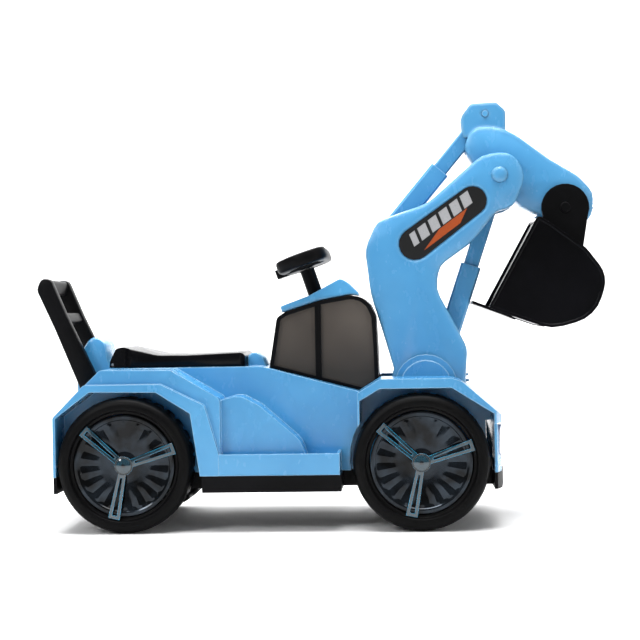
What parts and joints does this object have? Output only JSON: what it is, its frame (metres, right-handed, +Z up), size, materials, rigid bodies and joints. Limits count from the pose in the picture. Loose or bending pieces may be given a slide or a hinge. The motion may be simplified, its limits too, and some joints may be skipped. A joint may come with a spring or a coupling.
{
  "type": "ride-on toy digger",
  "caption": "Four-wheeled ride-on toy digger with a seat, backrest, steering handlebar and a hinged boom, stick and bucket in front.",
  "frame": {"origin": "on the ground under the middle of the toy", "axes": "+X forward, +Y to the rider's left, +Z up"},
  "size_m": [0.8614, 0.31, 0.6374],
  "materials": {
    "body_blue": "glossy moulded",
    "black_plastic": "semi-gloss moulded",
    "seat_black": "glossy moulded",
    "tyre_black": "hollow moulded plastic tyre",
    "clear_teal": "tinted clear moulded",
    "disc_dark": "dark tinted clear moulded",
    "smoked_window": "smoked moulded sheet",
    "lamp_grey": "clear moulded lens",
    "steel": "plated rod",
    "badge": "printed label",
    "battery_dark": "moulded case"
  },
  "bodies": {
    "chassis": {"chassis_tray": "black_plastic", "body_shell": "body_blue", "headlight_right": "lamp_grey", "headlight_left": "lamp_grey", "console_frame": "black_plastic", "side_window_right": "smoked_window", "side_window_left": "smoked_window", "dash_cover": "body_blue", "backrest": "black_plastic", "seat_hinge_pin": "steel", "battery_pack": "battery_dark", "drive_gearbox": "black_plastic", "drive_motor": "steel", "rear_axle": "steel", "front_axle_beam": "black_plastic", "boom_cover_right": "body_blue", "boom_cover_left": "body_blue", "boom_shaft": "steel"},
    "seat": {"seat_lid": "seat_black"},
    "rear_wheel_right": {"tyre_rear_right": "tyre_black", "wheel_disc_rear_right": "disc_dark", "wheel_star_rear_right": "clear_teal"},
    "rear_wheel_left": {"tyre_rear_left": "tyre_black", "wheel_disc_rear_left": "disc_dark", "wheel_star_rear_left": "clear_teal"},
    "steering_knuckle_right": {"knuckle_right": "steel"},
    "steering_knuckle_left": {"knuckle_left": "steel"},
    "front_wheel_right": {"tyre_front_right": "tyre_black", "wheel_disc_front_right": "disc_dark", "wheel_star_front_right": "clear_teal"},
    "front_wheel_left": {"tyre_front_left": "tyre_black", "wheel_disc_front_left": "disc_dark", "wheel_star_front_left": "clear_teal"},
    "tie_bar": {"tie_rod": "steel"},
    "steering": {"steering_column": "black_plastic", "handlebar": "black_plastic"},
    "horn": {"horn_button": "body_blue"},
    "music": {"music_button": "lamp_grey"},
    "boom": {"boom_shell_right": "body_blue", "boom_shell_left": "body_blue", "boom_badge_right": "badge", "boom_badge_left": "badge", "boom_gear": "body_blue", "lower_ram_barrel": "body_blue", "lower_ram_rod": "body_blue", "lower_ram_foot_pin": "steel", "lower_ram_top_pin": "steel", "upper_ram_foot_pin": "steel", "stick_pin": "body_blue"},
    "upper_barrel": {"upper_ram_barrel": "body_blue"},
    "upper_rod": {"upper_ram_rod": "body_blue"},
    "stick": {"stick_shell_right": "body_blue", "stick_shell_left": "body_blue", "ear_pin": "steel"},
    "digging_bucket": {"bucket": "black_plastic", "bucket_bracket": "black_plastic", "bucket_gear": "body_blue", "bucket_pin": "black_plastic"}
  },
  "joints": [
    {"name": "rear_right_spin", "type": "hinge", "parent": "chassis", "child": "rear_wheel_right", "pos_m": [-0.28321, 0, 0.1], "axis": [0, 1, 0], "continuous": true},
    {"name": "rear_left_spin", "type": "hinge", "parent": "chassis", "child": "rear_wheel_left", "pos_m": [-0.28321, 0, 0.1], "axis": [0, 1, 0], "continuous": true},
    {"name": "column_turn", "type": "hinge", "parent": "chassis", "child": "steering", "pos_m": [-0.00861, 0, 0.3538], "axis": [-0.3173, 0, 0.9483], "range_deg": [-13.4, 13.4]},
    {"name": "steer_right", "type": "hinge", "parent": "chassis", "child": "steering_knuckle_right", "pos_m": [0.15179, -0.112, 0.1], "axis": [0, 0, 1], "range_deg": [-12, 12]},
    {"name": "front_right_spin", "type": "hinge", "parent": "steering_knuckle_right", "child": "front_wheel_right", "pos_m": [0.15179, -0.112, 0.1], "axis": [0, 1, 0], "continuous": true},
    {"name": "steer_left", "type": "hinge", "parent": "chassis", "child": "steering_knuckle_left", "pos_m": [0.15179, 0.112, 0.1], "axis": [0, 0, 1], "range_deg": [-12, 12]},
    {"name": "front_left_spin", "type": "hinge", "parent": "steering_knuckle_left", "child": "front_wheel_left", "pos_m": [0.15179, 0.112, 0.1], "axis": [0, 1, 0], "continuous": true},
    {"name": "tie_slide", "type": "slide", "parent": "chassis", "child": "tie_bar", "axis": [0, 1, 0], "range_m": [-0.0085, 0.0085]},
    {"name": "horn_press", "type": "slide", "parent": "steering", "child": "horn", "axis": [0.3173, 0, -0.9483], "range_m": [0, 0.002], "stiffness_N_per_m": 400},
    {"name": "music_press", "type": "slide", "parent": "steering", "child": "music", "axis": [0.3173, 0, -0.9483], "range_m": [0, 0.002], "stiffness_N_per_m": 400},
    {"name": "seat_open", "type": "hinge", "parent": "chassis", "child": "seat", "pos_m": [-0.31831, 0, 0.245], "axis": [0, -1, 0], "range_deg": [0, 30]},
    {"name": "boom_lift", "type": "hinge", "parent": "chassis", "child": "boom", "pos_m": [0.16119, 0, 0.207], "axis": [0, 1, 0], "range_deg": [0, 30]},
    {"name": "stick_swing", "type": "hinge", "parent": "boom", "child": "stick", "pos_m": [0.27769, 0, 0.5235], "axis": [0, -1, 0], "range_deg": [0, 25]},
    {"name": "ram_tilt", "type": "hinge", "parent": "boom", "child": "upper_barrel", "pos_m": [0.11619, 0, 0.45], "axis": [0, -1, 0], "range_deg": [-0.5, 6.5]},
    {"name": "ram_slide", "type": "slide", "parent": "upper_barrel", "child": "upper_rod", "axis": [0.6437, 0, 0.7653], "range_m": [-0.0375, 0.0005]},
    {"name": "bucket_curl", "type": "hinge", "parent": "stick", "child": "digging_bucket", "pos_m": [0.37719, 0, 0.473], "axis": [0, -1, 0], "range_deg": [0, 50]}
  ],
  "couplings": [
    {"joint": "steer_right", "follows": "column_turn", "ratio": 0.8925},
    {"joint": "steer_left", "follows": "column_turn", "ratio": 0.8925},
    {"joint": "tie_slide", "follows": "column_turn", "m_per_rad": 0.0357},
    {"joint": "ram_tilt", "follows": "stick_swing", "ratio": 0.2443},
    {"joint": "ram_slide", "follows": "stick_swing", "m_per_rad": -0.0845}
  ]
}
